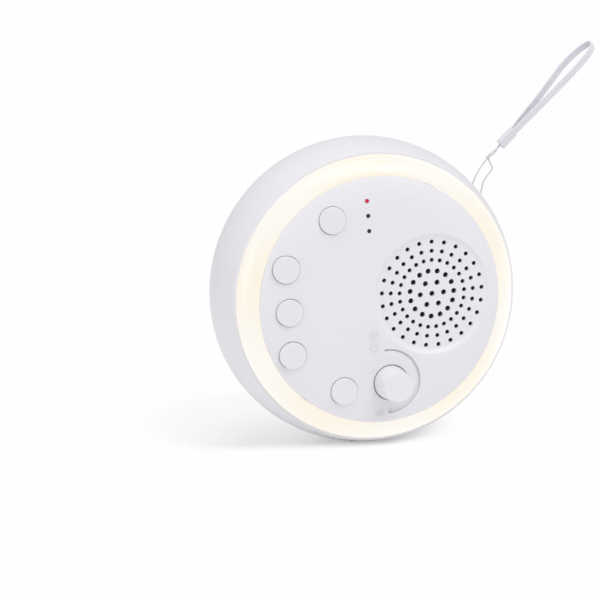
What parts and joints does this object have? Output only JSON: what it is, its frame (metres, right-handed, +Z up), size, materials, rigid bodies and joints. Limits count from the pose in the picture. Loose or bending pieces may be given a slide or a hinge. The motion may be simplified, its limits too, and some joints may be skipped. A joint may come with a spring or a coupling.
{
  "type": "white noise sound machine",
  "caption": "Round portable white noise sound machine with a light ring, drilled speaker grille, push buttons, a turning knob and a wrist strap; stands on its rim.",
  "frame": {"origin": "on the floor under the middle of the body's bounding box, strap left out", "axes": "+Z up, the control panel faces -Y, +X to the right seen from the front; the housing's axis lies along Y"},
  "size_m": [0.1443, 0.0554, 0.1272],
  "materials": {
    "housing_abs": "satin moulded ABS",
    "panel_abs": "satin moulded ABS",
    "button_abs": "satin moulded ABS",
    "knob_abs": "satin moulded ABS",
    "ring_diffuser": "opal polycarbonate, lit warm white",
    "foot_rubber": "soft grey silicone rubber",
    "screw_steel": "zinc-plated steel",
    "plated_steel": "nickel-plated steel",
    "circuit_board": "green glass-epoxy laminate",
    "lamp_phosphor": "yellow phosphor in white frame",
    "lit_red": "red light pipe, lit",
    "dark_pipe": "smoked light pipe",
    "black_cloth": "thin woven acoustic cloth",
    "black_foam": "closed-cell foam",
    "roll_rubber": "moulded rubber",
    "spider_cloth": "resin-stiffened cotton",
    "cone_paper": "pressed paper pulp",
    "coil_copper": "enamelled copper wire",
    "ferrite": "sintered ferrite",
    "chip_epoxy": "moulded epoxy",
    "socket_nylon": "natural nylon",
    "switch_plastic": "black PBT",
    "plunger_nylon": "natural nylon",
    "cell_can": "steel can with wound cell inside",
    "cell_sleeve": "heat-shrunk PVC film",
    "lead_insulation": "PVC insulation",
    "strap_string": "thin braided nylon",
    "strap_webbing": "flat woven polyester webbing",
    "sleeve_plastic": "moulded polyethylene"
  },
  "bodies": {
    "body": {"rear_housing": "housing_abs", "base_foot": "foot_rubber", "rear_feet": "foot_rubber", "housing_screws": "screw_steel", "light_ring": "ring_diffuser", "ring_board": "circuit_board", "ring_lamps": "lamp_phosphor", "front_panel": "panel_abs", "speaker_cloth": "black_cloth", "speaker_gasket": "black_foam", "speaker_frame": "plated_steel", "speaker_surround": "roll_rubber", "speaker_spider": "spider_cloth", "speaker_top_plate": "plated_steel", "speaker_magnet": "ferrite", "speaker_yoke": "plated_steel", "speaker_screws": "screw_steel", "main_board": "circuit_board", "board_parts": "chip_epoxy", "board_sockets": "socket_nylon", "board_screws": "screw_steel", "switch_bodies": "switch_plastic", "indicator_lamps": "lamp_phosphor", "indicator_lit": "lit_red", "indicator_dark": "dark_pipe", "potentiometer": "switch_plastic", "battery_cell": "cell_can", "battery_sleeve": "cell_sleeve", "battery_board": "circuit_board", "battery_pad": "black_foam", "charge_board": "circuit_board", "charge_parts": "chip_epoxy", "usb_shell": "plated_steel", "usb_tongue": "switch_plastic", "battery_leads": "lead_insulation", "link_leads": "lead_insulation", "speaker_leads": "lead_insulation", "ring_leads": "lead_insulation", "strap_string": "strap_string", "strap_knot": "strap_string", "strap_sleeve": "sleeve_plastic", "strap_webbing": "strap_webbing"},
    "button_top": {"button_top": "button_abs", "plunger_top": "plunger_nylon"},
    "button_left_upper": {"button_left_upper": "button_abs", "plunger_left_upper": "plunger_nylon"},
    "button_left_middle": {"button_left_middle": "button_abs", "plunger_left_middle": "plunger_nylon"},
    "button_left_lower": {"button_left_lower": "button_abs", "plunger_left_lower": "plunger_nylon"},
    "button_bottom": {"button_bottom": "button_abs", "plunger_bottom": "plunger_nylon"},
    "knob": {"knob": "knob_abs", "knob_shaft": "plated_steel"},
    "cone": {"speaker_cone": "cone_paper", "speaker_dust_cap": "cone_paper", "voice_coil": "coil_copper"}
  },
  "joints": [
    {"name": "press_top", "type": "slide", "parent": "body", "child": "button_top", "axis": [0, 1, 0], "range_m": [0, 0.0005], "stiffness_N_per_m": 1200, "springref_m": -0.0005},
    {"name": "press_left_upper", "type": "slide", "parent": "body", "child": "button_left_upper", "axis": [0, 1, 0], "range_m": [0, 0.0005], "stiffness_N_per_m": 1200, "springref_m": -0.0005},
    {"name": "press_left_middle", "type": "slide", "parent": "body", "child": "button_left_middle", "axis": [0, 1, 0], "range_m": [0, 0.0005], "stiffness_N_per_m": 1200, "springref_m": -0.0005},
    {"name": "press_left_lower", "type": "slide", "parent": "body", "child": "button_left_lower", "axis": [0, 1, 0], "range_m": [0, 0.0005], "stiffness_N_per_m": 1200, "springref_m": -0.0005},
    {"name": "press_bottom", "type": "slide", "parent": "body", "child": "button_bottom", "axis": [0, 1, 0], "range_m": [0, 0.0005], "stiffness_N_per_m": 1200, "springref_m": -0.0005},
    {"name": "knob_turn", "type": "hinge", "parent": "body", "child": "knob", "pos_m": [0.00125, -0.01905, 0.02321], "axis": [0, 1, 0], "range_deg": [-140, 140]},
    {"name": "cone_travel", "type": "slide", "parent": "body", "child": "cone", "axis": [0, -1, 0], "range_m": [-0.0005, 0.0005], "stiffness_N_per_m": 900}
  ]
}
